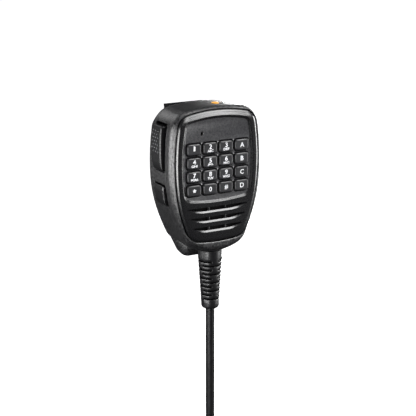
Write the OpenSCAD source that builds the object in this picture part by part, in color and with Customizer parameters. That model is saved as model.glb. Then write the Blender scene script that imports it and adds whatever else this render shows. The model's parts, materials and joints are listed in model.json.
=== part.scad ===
// Hand microphone with a keypad, a belt clip and a hanging cable.
// X is to the right, Y runs from the front face to the back, Z is up.
// The origin is the axis of the belt clip's hinge pin, where the clip hangs.

/* [Body] */
// Depth of the housing from its front face to its rear face
body_depth = 33; // [32:0.5:36]
// Depth of the front shell, from the front face to the parting line
front_depth = 8; // [7.5:0.25:8.5]
// Thickness of the shell walls
wall = 2; // [1.8:0.1:2.2]
// Height of the housing's top above the clip's hinge pin
pin_below_top = 21; // [20:0.5:22]

/* [Front panel] */
// Depth of the keypad recess below the panel's face
recess_depth = 1.3; // [1:0.1:1.5]
// Height of one sound slot
slot_h = 2.8; // [2.4:0.1:3]
// Distance between sound slots
slot_pitch = 5.9; // [5.6:0.1:6.2]
// Radius of the microphone hole
mic_hole_r = 0.55; // [0.4:0.05:0.8]

/* [Keys] */
// Width of a key
key_w = 8.7; // [8.2:0.1:9]
// Height of a key
key_h = 6.3; // [6:0.1:6.6]
// Distance between key columns
key_pitch_x = 10.5; // [10.2:0.1:10.6]
// Distance between key rows
key_pitch_z = 8.1; // [8:0.1:8.2]
// Travel of a key
key_travel = 0.7; // [0.4:0.1:0.8]

/* [Side and top buttons] */
// Height of the talk button
ptt_h = 26; // [25:0.5:27]
// Depth of both side buttons, from front to back
side_button_d = 12; // [11:0.5:12.5]
// Height of the lower side button
side_button_h = 11.6; // [11:0.1:12]
// Radius of the orange top button
top_button_r = 2.2; // [2:0.1:2.4]

/* [Belt clip] */
// Distance of the hinge pin behind the rear face
pin_standoff = 5; // [4.8:0.1:5.4]
// Radius of the hinge pin
pin_r = 1.25; // [1:0.05:1.4]
// Width of the clip lever
lever_w = 25; // [24:0.5:26]

/* [Cable] */
// Diameter of the cable
cable_d = 5.4; // [5:0.1:5.6]
// Length of a straight run of the tied hank
hank_run = 49; // [46:1:52]
// Turns of cable in the tied hank
hank_turns = 5; // [3:1:6]

/* [Hidden] */
$fn = 48;

// The front face's Y and the housing top's Z
front_y = -(body_depth + pin_standoff);
top_z = pin_below_top;

// Outlines: drop of the top below the housing's top, then tangent arcs of
// radius, sweep in degrees and number of segments. A last arc closes each.
body_arcs = [[126, 8, 2], [13.5, 74, 8], [148, 11, 3], [88, 15, 4], [120, 8, 2], [11, 40, 5]];
panel_drop = 2.1;
panel_arcs = [[90, 12, 3], [8.6, 69, 7], [140, 15.5, 4], [86, 17.5, 4], [9, 59, 6]];
recess_drop = 5.6;
recess_arcs = [[85, 12, 3], [4.6, 68, 6], [128, 17.6, 4], [5.2, 73.9, 6]];

// Panel layout
panel_proud = 0.8;
panel_gap = 0.25;
panel_back = 2.2;
recess_floor = recess_depth - panel_proud;
floor_front = 2.5;
floor_back = 4.2;
row_drop = 23.7;
slot_drop = 58.8;
slot_half_widths = [19.6, 18, 16.2];
mic_x = -10.1;
mic_drop = 15;

// Keys
key_gap = 0.3;
key_proud = 0.75;
flange_margin = 0.6;
flange_front = 2.4;
flange_back = 3.2;
mat_front = flange_back + key_travel + 0.3;
mat_back = mat_front + 1;
board_front = 5.8;
board_back = 7.4;
board_w = 46.8;
board_top = 18.8;
board_bottom = 53.6;
window_w = 42.4;
window_h = 32.4;
keypad_drop = row_drop + 1.5 * key_pitch_z;

// Speaker
speaker_drop = 67.4;
speaker_r = 12.5;
speaker_front = 4.7;

// Side buttons
button_front = 10;
button_mid = button_front + side_button_d / 2;
ptt_drop = 23.7;
ptt_top = ptt_drop - ptt_h / 2;
ptt_bottom = ptt_drop + ptt_h / 2;
side_drop = 51.9;
button_in = 27.2;
ptt_pivot = [-27.6, 36];
seal_x = -24.9;
side_board_x = -21.2;

// Top button and lamp
top_button_x = 4.8;
lamp_x = 9.2;
top_row = 12.4;
top_board_drop = 7;

// Screws
case_screw_at = [[19, 6.2], [16.5, 73]];
board_screw_x = 22.1;
board_screw_drops = [20, 52.4];

// Clip
bracket_w = 24;
bracket_t = 1.6;
bracket_top = 14;
bracket_bottom = 50;
clip_screw_drops = [27, 44];
lever_t = 1.7;

// Strain relief and cable
cord_in = 9.5;
cord_y = front_y + cord_in;
cord_r = cable_d / 2;
lead_in = 12.9;
relief_top = 88;
relief_end = 124.6;
relief_r0 = 7.3;
relief_r1 = 5.4;
relief_levels = 10;
relief_pitch = 2.67;
relief_first = 95.6;
fold_r = 16.4;
layer = cable_d + 0.1;
hank_top = 214;
hank_r = fold_r + cord_r;
hank_bottom = hank_top + 2 * hank_r + hank_run;
tail_y = cord_y + hank_turns * layer;
tail_end = hank_bottom + 18;
cable_route = [for (d = [relief_end, 136, 148, 160, 172, 184, 199, hank_top]) [0, cord_in, d]];
tail_route = [for (d = [hank_bottom, hank_bottom + 9, tail_end]) [0, tail_y - front_y, d]];

// ---- outline functions ----

function arc_pts(x, z, r, h0, h1, n) =
  [for (k = [1:n]) let (h = h0 + (h1 - h0) * k / n)
    [x + r * (sin(h) - sin(h0)), z - r * (cos(h0) - cos(h))]];

function half_pts(x, z, h, arcs, inset, i = 0) =
  i == len(arcs)
    ? arc_pts(x, z, x / sin(h), h, 180, 6)
    : let (p = arc_pts(x, z, arcs[i][0] - inset, h, h + arcs[i][1], arcs[i][2]))
      concat(p, half_pts(p[len(p) - 1][0], p[len(p) - 1][1], h + arcs[i][1], arcs, inset, i + 1));

function outline(drop, arcs, inset) =
  let (z = top_z - drop - inset, right = half_pts(0, z, 0, arcs, inset), n = len(right))
    concat([[0, z]], right, [for (i = [n - 2:-1:0]) [-right[i][0], right[i][1]]]);

function body_pts(inset) = outline(0, body_arcs, inset);
function panel_pts(inset) = outline(panel_drop, panel_arcs, inset);
function recess_pts(inset) = outline(recess_drop, recess_arcs, inset);

// Rounded rectangle, with quarter arcs of n segments at its corners
function round_rect(w, h, r, n = 4) =
  [for (c = [[1, 1, 0], [-1, 1, 90], [-1, -1, 180], [1, -1, 270]], k = [0:n])
    [c[0] * (w / 2 - r) + r * cos(c[2] + 90 * k / n), c[1] * (h / 2 - r) + r * sin(c[2] + 90 * k / n)]];

// ---- placing ----

// Puts its children at x, at a depth behind the front face and a drop below the top
module at(x, depth, drop) {
  translate([x, front_y + depth, top_z - drop]) children();
}

// A flat outline in X and Z made solid between two depths
module plate(pts, d0, d1) {
  translate([0, front_y + d1, 0]) rotate([90, 0, 0]) linear_extrude(d1 - d0) polygon(pts);
}

// A rounded rectangle in X and Z made solid between two depths
module tile(x, drop, w, h, r, d0, d1) {
  at(x, d1, drop) rotate([90, 0, 0]) linear_extrude(d1 - d0) polygon(round_rect(w, h, r));
}

// A cylinder along Y between two depths
module peg(x, drop, r, d0, d1) {
  at(x, d1, drop) rotate([90, 0, 0]) cylinder(r = r, h = d1 - d0);
}

// A box given by its limits in x, depth and drop
module block(x0, x1, d0, d1, drop0, drop1) {
  translate([x0, front_y + d0, top_z - drop1]) cube([x1 - x0, d1 - d0, drop1 - drop0]);
}

// The body outline lofted through rings, each an inset and a depth, front to back
module body_loft(rings) {
  n = len(body_pts(0));
  m = len(rings);
  pts = [for (r = rings, p = body_pts(r[0])) [p[0], front_y + r[1], p[1]]];
  sides = [for (j = [0:m - 2], i = [0:n - 1]) let (k = (i + 1) % n, a = j * n, b = a + n)
    each [[a + i, b + k, a + k], [a + i, b + i, b + k]]];
  caps = [[for (i = [0:n - 1]) i], [for (i = [n - 1:-1:0]) (m - 1) * n + i]];
  polyhedron(pts, concat(sides, caps));
}

// ---- shells ----

chin_r = 6.4;
front_rings = [[4.2, 0], [2.5, 0.45], [1.2, 1.4], [0.35, 2.9], [0, 4.6], [0, front_depth]];
rear_rings = [[0.1, front_depth], [0.1, 26.5], [0.8, 29.6], [2.2, 31.9], [4.6, body_depth]];
rear_inner = [[0.1 + wall, front_depth - 1], [0.1 + wall, 26], [3.2, 29.4], [5, body_depth - wall]];

// Openings for the two side buttons, with a bevelled mouth
module side_openings(gap) {
  for (b = [[ptt_drop, ptt_h], [side_drop, side_button_h]])
    block(-34, -25, button_front - gap, button_front + side_button_d + gap,
      b[0] - b[1] / 2 - gap, b[0] + b[1] / 2 + gap);
}

// The channel where the strain relief's neck is held
module relief_seat(gap) {
  at(0, cord_in, 0) {
    translate([0, 0, -(relief_top + 1)]) cylinder(r = 6.2 + gap, h = 8);
    translate([0, 0, -(relief_top - 3)]) cylinder(r = 7.6 + gap, h = 2 + gap);
  }
}

module front_shell() color([0.13, 0.13, 0.14]) {
  difference() {
    body_loft(front_rings);
    plate(panel_pts(-panel_gap), -2, floor_front);
    plate(body_pts(wall + 0.3), floor_back, front_depth + 1);
    tile(0, keypad_drop, window_w, window_h, 1.5, 1, 6);
    peg(0, speaker_drop, speaker_r - 1.8, 1, 6);
    peg(mic_x, mic_drop, 1.2, 1, 6);
    gasket_ring(0.15);
    side_openings(0.6);
    relief_seat(0.05);
  }
  difference() {
    union() {
      for (s = [-1, 1], p = case_screw_at) peg(s * p[0], p[1], 3, floor_back - 0.5, front_depth - 0.05);
      for (s = [-1, 1], d = board_screw_drops) peg(s * board_screw_x, d, 1.5, floor_back - 0.5, board_front);
    }
    for (s = [-1, 1], p = case_screw_at) peg(s * p[0], p[1], 1.1, 4.6, 9);
    for (s = [-1, 1], d = board_screw_drops) peg(s * board_screw_x, d, 0.7, 4.4, 9);
  }
}

module chin() {
  hull() {
    for (s = [-1, 1]) {
      at(s * 7.8, 23.4, 88.2) sphere(r = chin_r, $fn = 32);
      at(s * 7.8, 26.4, 87.6) sphere(r = chin_r, $fn = 32);
      at(s * 11.8, 25.5, 80) sphere(r = chin_r, $fn = 32);
    }
  }
}

module rear_shell() color([0.12, 0.12, 0.13]) {
  difference() {
    union() {
      body_loft(rear_rings);
      chin();
    }
    difference() {
      body_loft(rear_inner);
      for (s = [-1, 1], p = case_screw_at) peg(s * p[0], p[1], 3.6, front_depth, body_depth);
    }
    gasket_ring(0.15);
    side_openings(0.6);
    relief_seat(0.05);
    at(0, cord_in, 0) translate([0, 0, -140]) cylinder(r = relief_r0 + 0.4, h = 140 - relief_top + 0.05);
    at(top_button_x, top_row, 4) cylinder(r = top_button_r + 0.3, h = 6);
    at(lamp_x, top_row, 4) cylinder(r = 1, h = 6);
    for (s = [-1, 1], p = case_screw_at) {
      peg(s * p[0], p[1], 1.3, front_depth - 1, body_depth);
      peg(s * p[0], p[1], 2.5, 26, body_depth + 1);
    }
    for (d = clip_screw_drops) peg(0, d, 1.1, body_depth - 5, body_depth + 1);
  }
}

// Seal between the two shells, half in each
module gasket_ring(gap) {
  difference() {
    plate(body_pts(0.75 - gap), front_depth - 0.4 - gap, front_depth + 0.4 + gap);
    plate(body_pts(1.55 + gap), front_depth - 1, front_depth + 1);
  }
}

module shell_gasket() color([0.2, 0.2, 0.2]) {
  difference() {
    gasket_ring(0);
    side_openings(0.8);
    relief_seat(0.3);
  }
}

// A pan-head screw along Y: its head at the back, its tip at the front
module screw(x, drop, head_r, r, tip, seat, head_h) {
  difference() {
    union() {
      peg(x, drop, r, tip, seat);
      peg(x, drop, head_r, seat, seat + head_h);
    }
    block(x - head_r * 0.7, x + head_r * 0.7, seat + head_h / 2, seat + head_h + 1, drop - 0.25, drop + 0.25);
    block(x - 0.25, x + 0.25, seat + head_h / 2, seat + head_h + 1, drop - head_r * 0.7, drop + head_r * 0.7);
  }
}

module case_screws() color([0.6, 0.6, 0.62]) {
  for (s = [-1, 1], p = case_screw_at) screw(s * p[0], p[1], 2.2, 1.1, 5, 26, 1.7);
}

// ---- front panel ----

// A sound slot: straight on top, with both ends of its lower edge rising
module slot_cut(drop, half_w, d0, d1) {
  pts = [
    [-half_w, -0.2], [-half_w + 0.6, 0], [half_w - 0.6, 0], [half_w, -0.2],
    [half_w * 0.8, -slot_h * 0.55], [half_w * 0.6, -slot_h * 0.88], [half_w * 0.45, -slot_h],
    [-half_w * 0.45, -slot_h], [-half_w * 0.6, -slot_h * 0.88], [-half_w * 0.8, -slot_h * 0.55]
  ];
  at(0, d1, drop) rotate([90, 0, 0]) linear_extrude(d1 - d0) polygon(pts);
}

module front_panel() color([0.1, 0.1, 0.11]) {
  difference() {
    union() {
      plate(panel_pts(0), 0.7, panel_back);
      plate(panel_pts(0.7), 0.1, 0.8);
      plate(panel_pts(2), -0.4, 0.2);
      plate(panel_pts(3), -panel_proud, -0.3);
    }
    plate(recess_pts(0), -2, 0);
    plate(recess_pts(0.5), -1, recess_floor);
    for (i = [0:2]) slot_cut(slot_drop + i * slot_pitch, slot_half_widths[i], -2, 5);
    for (c = [0:3], r = [0:3])
      tile((c - 1.5) * key_pitch_x, row_drop + r * key_pitch_z,
        key_w + 2 * key_gap, key_h + 2 * key_gap, 1.4, -2, 5);
    peg(mic_x, mic_drop, mic_hole_r, -2, 5);
  }
  for (i = [0:2], s = [-1, 1])
    block(s * 5.5 - 0.35, s * 5.5 + 0.35, 1.2, panel_back, slot_drop + i * slot_pitch - 0.2,
      slot_drop + i * slot_pitch + slot_h + 0.1);
}

// A key: its cap through the panel, and a flange that keeps it in
module key(c, r) color([0.15, 0.15, 0.16]) {
  x = (c - 1.5) * key_pitch_x;
  drop = row_drop + r * key_pitch_z;
  tile(x, drop, key_w - 0.8, key_h - 0.8, 0.9, -key_proud, -key_proud + 0.3);
  tile(x, drop, key_w, key_h, 1.2, -key_proud + 0.3, flange_front);
  tile(x, drop, key_w + 2 * flange_margin, key_h + 2 * flange_margin, 1, flange_front, flange_back);
}

module key_1() { key(0, 0); }
module key_2() { key(1, 0); }
module key_3() { key(2, 0); }
module key_a() { key(3, 0); }
module key_4() { key(0, 1); }
module key_5() { key(1, 1); }
module key_6() { key(2, 1); }
module key_b() { key(3, 1); }
module key_7() { key(0, 2); }
module key_8() { key(1, 2); }
module key_9() { key(2, 2); }
module key_c() { key(3, 2); }
module key_star() { key(0, 3); }
module key_0() { key(1, 3); }
module key_hash() { key(2, 3); }
module key_d() { key(3, 3); }

module keypad_mat() color([0.3, 0.3, 0.32]) {
  difference() {
    tile(0, keypad_drop, 41.6, 31.8, 1, mat_front, mat_back + 0.6);
    for (c = [0:3], r = [0:3])
      peg((c - 1.5) * key_pitch_x, row_drop + r * key_pitch_z, 2.9, mat_back - 0.1, mat_back + 2);
  }
}

module snap_domes() color([0.75, 0.76, 0.78]) {
  for (c = [0:3], r = [0:3])
    peg((c - 1.5) * key_pitch_x, row_drop + r * key_pitch_z, 2.5, board_front - 0.3, board_front);
}

module main_board() color([0.1, 0.35, 0.18]) {
  difference() {
    block(-board_w / 2, board_w / 2, board_front, board_back, board_top, board_bottom);
    for (s = [-1, 1], d = board_screw_drops) peg(s * board_screw_x, d, 0.9, 5, 9);
  }
}

// Chips soldered to the back of the main board
module board_chips() color([0.12, 0.12, 0.12]) {
  block(-4, 4, board_back, board_back + 1, 24, 32);
  block(7, 12, board_back, board_back + 1.4, 25, 29);
  block(-15, -9, board_back, board_back + 1.1, 26, 31);
  block(8, 10, board_back, board_back + 0.6, 34, 35.2);
  block(-12, -10.8, board_back, board_back + 0.6, 36, 38);
  block(-4, -0.8, board_back, board_back + 0.9, 36, 38.5);
}

module board_screws() color([0.65, 0.65, 0.68]) {
  for (s = [-1, 1], d = board_screw_drops) screw(s * board_screw_x, d, 1.15, 0.7, 4.6, board_back, 0.9);
}

module mic_capsule() color([0.7, 0.7, 0.72]) {
  peg(mic_x, mic_drop, 2.9, 4.7, 7.2);
}

// Rubber cup that holds the capsule against the front shell's floor
module mic_boot() color([0.16, 0.16, 0.17]) {
  difference() {
    peg(mic_x, mic_drop, 3.5, floor_back, 7.8);
    peg(mic_x, mic_drop, 2.9, 4.7, 7.2);
    peg(mic_x, mic_drop, 0.8, 4, 5);
    peg(mic_x, mic_drop, 1.6, 7, 8);
  }
}

// Dust mesh behind the sound slots, trimmed to the panel's outline
module slot_mesh() color([0.08, 0.08, 0.08]) {
  intersection() {
    plate(panel_pts(1.2), panel_back, panel_back + 0.3);
    block(-21, 21, 2, 3, slot_drop - 1.5, slot_drop + 2 * slot_pitch + slot_h + 1.5);
  }
}

module speaker_gasket() color([0.1, 0.1, 0.1]) {
  difference() {
    peg(0, speaker_drop, speaker_r, floor_back, speaker_front);
    peg(0, speaker_drop, speaker_r - 1.6, 4, 5);
  }
}

module speaker_frame() color([0.55, 0.55, 0.56]) {
  difference() {
    union() {
      peg(0, speaker_drop, speaker_r, speaker_front, 5.6);
      peg(0, speaker_drop, 9.4, 5.6, 8.4);
    }
    peg(0, speaker_drop, speaker_r - 1.6, 4, 5.2);
    peg(0, speaker_drop, 8.6, 5, 7.6);
  }
}

module speaker_cone() color([0.15, 0.15, 0.15]) {
  at(0, 7.4, speaker_drop) rotate([90, 0, 0]) rotate_extrude()
    polygon([[0, 1.2], [3, 1.2], [3.3, 0.6], [8.4, 2.2], [8.4, 2.4], [3.5, 1], [3, 1.7], [0, 1.9]]);
}

module speaker_magnet() color([0.4, 0.4, 0.42]) {
  peg(0, speaker_drop, 6.5, 8.4, 12);
}

// ---- side buttons ----

// X of the housing's left side at a drop: the outline's own bulge, proud by p
function left_x(drop, p) = -30.8 - p + pow(drop - 27, 2) / (drop < 27 ? 600 : 420);

// A side button's pad: a curved block that stands proud of the housing
module side_pad(drop0, drop1, proud) {
  n = 6;
  outer = [for (i = [0:n]) let (d = drop0 + (drop1 - drop0) * i / n)
    [left_x(d, proud * (i == 0 || i == n ? 0.55 : 1)), top_z - d]];
  translate([0, front_y + button_front + side_button_d, 0]) rotate([90, 0, 0])
    linear_extrude(side_button_d) polygon(concat(outer,
      [[-button_in, top_z - drop1], [-button_in, top_z - drop0]]));
}

// The talk button: its pad, a stop flange, the foot on its switch and its hinge nibs
module ptt_button() color([0.08, 0.08, 0.09]) {
  side_pad(ptt_top, ptt_bottom, 1.8);
  block(-button_in, -button_in + 0.8, button_front - 1.1, button_front + side_button_d + 1.1,
    ptt_top + 7.5, ptt_top + 15);
  peg(ptt_pivot[0], ptt_pivot[1], 0.45, button_front - 1.1, button_front + side_button_d + 1.1);
  block(-button_in, -button_in + 0.9, button_mid - 2, button_mid + 2, ptt_top + 6, ptt_top + 10);
}

module side_button() color([0.08, 0.08, 0.09]) {
  side_pad(side_drop - side_button_h / 2, side_drop + side_button_h / 2, 1.4);
  block(-button_in, -button_in + 1, button_mid - 3, button_mid + 3, side_drop - 4, side_drop + 4);
}

module side_seal() color([0.18, 0.18, 0.19]) {
  block(seal_x, seal_x + 0.6, 8.6, 23.4, 11.5, 59);
}

module side_board() color([0.1, 0.35, 0.18]) {
  block(side_board_x, side_board_x + 1, 10, 22.6, 12, 58.5);
}

// A push switch whose plunger faces the left side
module side_switch_body(drop) {
  block(side_board_x - 2, side_board_x, button_mid - 3, button_mid + 3, drop - 3, drop + 3);
  at(side_board_x - 3, button_mid, drop) rotate([0, 90, 0]) cylinder(r = 1.4, h = 1.05);
}

module ptt_switch() color([0.2, 0.2, 0.2]) {
  side_switch_body(ptt_top + 8);
}

module side_switch() color([0.2, 0.2, 0.2]) {
  side_switch_body(side_drop);
}

// ---- top button and lamp ----

module top_button() color([0.95, 0.45, 0.05]) {
  at(top_button_x, top_row, 3.4) cylinder(r = top_button_r, h = 3.75);
  at(top_button_x, top_row, 3.4) cylinder(r = top_button_r + 0.6, h = 0.8);
}

module lamp_lens() color([0.9, 0.92, 0.95]) {
  at(lamp_x, top_row, 3.5) cylinder(r = 0.98, h = 3.4);
  at(lamp_x, top_row, 3.5) cylinder(r = 1.2, h = 0.6);
}

module lamp() color([0.9, 0.9, 0.7]) {
  block(lamp_x - 0.8, lamp_x + 0.8, top_row - 0.5, top_row + 0.5, top_board_drop - 0.8, top_board_drop);
}

module top_board() color([0.1, 0.35, 0.18]) {
  block(0, 14, 8.8, 17, top_board_drop, top_board_drop + 1);
}

module top_switch() color([0.2, 0.2, 0.2]) {
  block(top_button_x - 2.2, top_button_x + 2.2, top_row - 2.2, top_row + 2.2,
    top_board_drop - 2.1, top_board_drop);
  at(top_button_x, top_row, top_board_drop - 2) cylinder(r = 1.1, h = 0.5);
}

// ---- belt clip ----

// An ear of the clip: a rounded lug along X around the hinge pin
module ear(x0, x1, r, depth0, drop0, drop1) {
  translate([x0, 0, 0]) rotate([0, 90, 0]) cylinder(r = r, h = x1 - x0);
  block(x0, x1, depth0, body_depth + pin_standoff, drop0, drop1);
}

module clip_bracket() color([0.1, 0.1, 0.11]) {
  difference() {
    union() {
      tile(0, (bracket_top + bracket_bottom) / 2, bracket_w, bracket_bottom - bracket_top, 2,
        body_depth, body_depth + bracket_t);
      for (s = [-1, 1])
        ear(s * 10.6 - 1, s * 10.6 + 1, 2.5, body_depth + bracket_t - 0.2, pin_below_top - 2.5,
          pin_below_top + 2.5);
    }
    translate([-13, 0, 0]) rotate([0, 90, 0]) cylinder(r = pin_r, h = 26);
    for (d = clip_screw_drops) {
      peg(0, d, 1.3, body_depth - 1, body_depth + 3);
      peg(0, d, 2.2, body_depth + 0.7, body_depth + 3);
    }
  }
}

module clip_screws() color([0.55, 0.55, 0.57]) {
  for (d = clip_screw_drops) screw(0, d, 2.1, 1.1, body_depth - 4, body_depth + 0.7, 0.8);
}

module clip_pin() color([0.7, 0.7, 0.72]) {
  translate([-11.9, 0, 0]) rotate([0, 90, 0]) cylinder(r = pin_r, h = 23.8);
}

module clip_spring() color([0.6, 0.6, 0.62]) {
  for (i = [-3:3]) translate([i * 1.1, 0, 0]) rotate([0, 90, 0])
    rotate_extrude() translate([pin_r + 0.75, 0]) circle(r = 0.4, $fn = 16);
  block(-0.4, 0.4, body_depth + bracket_t, body_depth + pin_standoff - 1.2, pin_below_top + 1.6,
    pin_below_top + 2.4);
}

// The lever's side view: a plate from its flared thumb end to its curled toe
lever_line = [
  [6.9, 16.5], [5.9, 12], [4.6, 6], [4.35, 3], [4.35, -34], [4.1, -37.5], [3.2, -40.4], [1.4, -43], [-2.2, -44.8]
];

// The same line moved inwards by the plate's thickness
function lever_back(i) =
  let (a = lever_line[max(i - 1, 0)], b = lever_line[min(i + 1, len(lever_line) - 1)],
    t = b - a, n = norm(t))
    [lever_line[i][0] + lever_t * t[1] / n, lever_line[i][1] - lever_t * t[0] / n];

module clip_lever() color([0.1, 0.1, 0.11]) {
  side = concat(lever_line, [for (i = [len(lever_line) - 1:-1:0]) lever_back(i)]);
  difference() {
    union() {
      translate([-lever_w / 2, 0, 0]) rotate([90, 0, 90]) linear_extrude(lever_w) polygon(side);
      for (s = [-1, 1]) {
        translate([s * 7.9 - 0.9, 0, 0]) rotate([0, 90, 0]) cylinder(r = 2.5, h = 1.8);
        translate([s * 7.9 - 0.9, 0, -2.5]) cube([1.8, 3, 5]);
      }
    }
    translate([-10, 0, 0]) rotate([0, 90, 0]) cylinder(r = pin_r + 0.07, h = 20);
  }
}

// ---- strain relief and cable ----

// Radius of the strain relief's taper at a drop
function relief_r(drop) =
  relief_r0 + (relief_r1 - relief_r0) * min(1, max(0, (drop - 92) / (relief_end - 3 - 92)));

module strain_relief() color([0.1, 0.1, 0.11]) {
  difference() {
    at(0, cord_in, 0) rotate_extrude() polygon([
      [0, -(relief_top - 7)], [6.2, -(relief_top - 7)], [6.2, -(relief_top - 5)],
      [6.2, -(relief_top - 3) + 2], [7.6, -(relief_top - 3) + 2], [7.6, -(relief_top - 3)],
      [6.2, -(relief_top - 3)], [6.2, -relief_top], [relief_r0, -relief_top],
      [relief_r0, -92], [relief_r(relief_end - 3), -(relief_end - 3)],
      [relief_r1, -(relief_end - 1.1)], [relief_r1 - 1.5, -relief_end], [0, -relief_end]
    ]);
    for (i = [0:relief_levels - 1], s = [0, 180]) {
      drop = relief_first + i * relief_pitch;
      at(0, cord_in, drop) rotate([0, 0, s + (i % 2 == 0 ? -75 : 15)])
        rotate_extrude(angle = 150) translate([relief_r(drop) - 1.6, -0.6]) square([4, 1.2]);
    }
  }
}

module cable_clamp() color([0.3, 0.3, 0.32]) {
  difference() {
    block(-6, 6, cord_in, cord_in + 4.5, 78.6, 80.8);
    at(0, cord_in, 84) cylinder(r = cord_r + 0.05, h = 10);
  }
}

module cable_connector() color([0.85, 0.83, 0.78]) {
  block(-7, 7, board_back, board_back + 4, 45, 50);
}

// The cable's end inside the housing, and its leads up to the connector
module cable_leads() color([0.15, 0.15, 0.16]) {
  for (i = [-2:2]) {
    at(i * 1.1, lead_in, 78) cylinder(r = 0.5, h = 30.5, $fn = 16);
    peg(i * 1.1, 48, 0.5, board_back + 4, lead_in, $fn = 16);
  }
  block(-2.7, 2.7, 11, lead_in + 0.6, 77.4, 78.4);
  at(0, cord_in, relief_top - 7) cylinder(r = cord_r, h = 3.6);
}

// A hanging cable swept through its route's points, each an X, a depth and a drop
module cable_tube(route) {
  n = 12;
  m = len(route);
  pts = [for (p = route, i = [0:n - 1])
    [p[0] + cord_r * cos(360 * i / n), front_y + p[1] + cord_r * sin(360 * i / n), top_z - p[2]]];
  sides = [for (j = [0:m - 2], i = [0:n - 1]) let (k = (i + 1) % n, a = j * n, b = a + n)
    each [[a + i, a + k, b + k], [a + i, b + k, b + i]]];
  caps = [[for (i = [n - 1:-1:0]) i], [for (i = [0:n - 1]) (m - 1) * n + i]];
  polyhedron(pts, concat(sides, caps));
}

module cable() color([0.07, 0.07, 0.08]) {
  cable_tube(cable_route);
}

// Outer shape of the hank: its straight runs and round folds
module cable_hank() color([0.07, 0.07, 0.08]) {
  translate([0, tail_y + cord_r, top_z - (hank_top + hank_bottom) / 2]) rotate([90, 0, 0])
    linear_extrude(hank_turns * layer + cable_d)
      polygon(round_rect(2 * hank_r, 2 * hank_r + hank_run, hank_r, 10));
}

// Band around the middle of the hank
module hank_tie() color([0.05, 0.05, 0.05]) {
  mid = top_z - (hank_top + hank_bottom) / 2;
  y0 = cord_y - cord_r;
  depth = hank_turns * layer + cable_d;
  translate([0, 0, mid - 4]) difference() {
    translate([-hank_r - 1.2, y0 - 1.2, 0]) cube([2 * hank_r + 2.4, depth + 2.4, 8]);
    translate([-hank_r, y0, -1]) cube([2 * hank_r, depth, 10]);
  }
}

module cable_tail() color([0.07, 0.07, 0.08]) {
  cable_tube(tail_route);
}

// ---- plug ----

module plug_boot() color([0.08, 0.08, 0.09]) {
  translate([-5.2, tail_y - 3.8, top_z - tail_end - 12]) cube([10.4, 7.6, 12]);
}

module plug_body() color([0.85, 0.88, 0.9]) {
  difference() {
    translate([-5.85, tail_y - 4.05, top_z - tail_end - 33]) cube([11.7, 8.1, 21]);
    for (i = [-4:3]) translate([i * 1.02 + 0.3, tail_y - 5, top_z - tail_end - 34]) cube([0.42, 2.2, 7]);
  }
}

module plug_latch() color([0.85, 0.88, 0.9]) {
  translate([-3, tail_y + 4.05, top_z - tail_end - 32]) cube([6, 1.2, 5]);
  translate([-1.6, tail_y + 5.0, top_z - tail_end - 28]) rotate([-12, 0, 0]) cube([3.2, 1, 13]);
}

front_shell();
front_panel();
rear_shell();
shell_gasket();
case_screws();
key_1();
key_2();
key_3();
key_a();
key_4();
key_5();
key_6();
key_b();
key_7();
key_8();
key_9();
key_c();
key_star();
key_0();
key_hash();
key_d();
keypad_mat();
snap_domes();
main_board();
board_chips();
board_screws();
mic_capsule();
mic_boot();
slot_mesh();
speaker_gasket();
speaker_frame();
speaker_cone();
speaker_magnet();
ptt_button();
side_button();
side_seal();
side_board();
ptt_switch();
side_switch();
top_button();
lamp_lens();
lamp();
top_board();
top_switch();
clip_bracket();
clip_screws();
clip_pin();
clip_spring();
clip_lever();
strain_relief();
cable_clamp();
cable_connector();
cable_leads();
cable();
cable_hank();
hank_tie();
cable_tail();
plug_boot();
plug_body();
plug_latch();
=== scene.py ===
"""Looks of a hand microphone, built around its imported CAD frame.

Helper coordinates are millimetres: x to the right, depth behind the housing's front face, and
drop below the housing's top. place() turns them into metres in the row frame.
"""

import json
import math

import bmesh
import bpy
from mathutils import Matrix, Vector


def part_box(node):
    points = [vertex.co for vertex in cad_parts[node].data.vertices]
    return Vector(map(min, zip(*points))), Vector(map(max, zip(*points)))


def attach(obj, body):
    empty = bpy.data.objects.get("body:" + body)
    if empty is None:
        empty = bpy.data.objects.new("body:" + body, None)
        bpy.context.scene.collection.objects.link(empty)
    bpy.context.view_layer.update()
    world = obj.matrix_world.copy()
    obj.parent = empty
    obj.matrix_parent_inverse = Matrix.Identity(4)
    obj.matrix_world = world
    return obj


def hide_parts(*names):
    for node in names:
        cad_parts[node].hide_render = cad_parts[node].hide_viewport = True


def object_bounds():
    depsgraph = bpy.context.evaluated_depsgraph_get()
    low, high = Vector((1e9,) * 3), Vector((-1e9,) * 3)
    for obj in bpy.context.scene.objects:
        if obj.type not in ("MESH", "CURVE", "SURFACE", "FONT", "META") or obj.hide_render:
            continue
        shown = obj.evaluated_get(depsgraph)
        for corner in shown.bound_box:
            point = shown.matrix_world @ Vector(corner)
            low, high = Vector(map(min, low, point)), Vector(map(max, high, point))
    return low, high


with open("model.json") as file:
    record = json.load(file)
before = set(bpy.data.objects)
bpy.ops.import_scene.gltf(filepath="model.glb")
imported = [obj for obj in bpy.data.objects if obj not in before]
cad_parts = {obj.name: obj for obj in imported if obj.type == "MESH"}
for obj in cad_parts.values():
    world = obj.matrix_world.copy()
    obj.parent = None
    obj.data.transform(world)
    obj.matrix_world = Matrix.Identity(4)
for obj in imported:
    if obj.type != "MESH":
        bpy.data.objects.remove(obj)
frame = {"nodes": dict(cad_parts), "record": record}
cad_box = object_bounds()
NODES = frame["nodes"]

MM = 0.001
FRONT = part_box("front_shell")[0].y
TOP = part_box("front_shell")[1].z


def place(x, depth, drop):
    """Helper coordinates to metres in the row frame."""
    return Vector((x * MM, FRONT + depth * MM, TOP - drop * MM))


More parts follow.
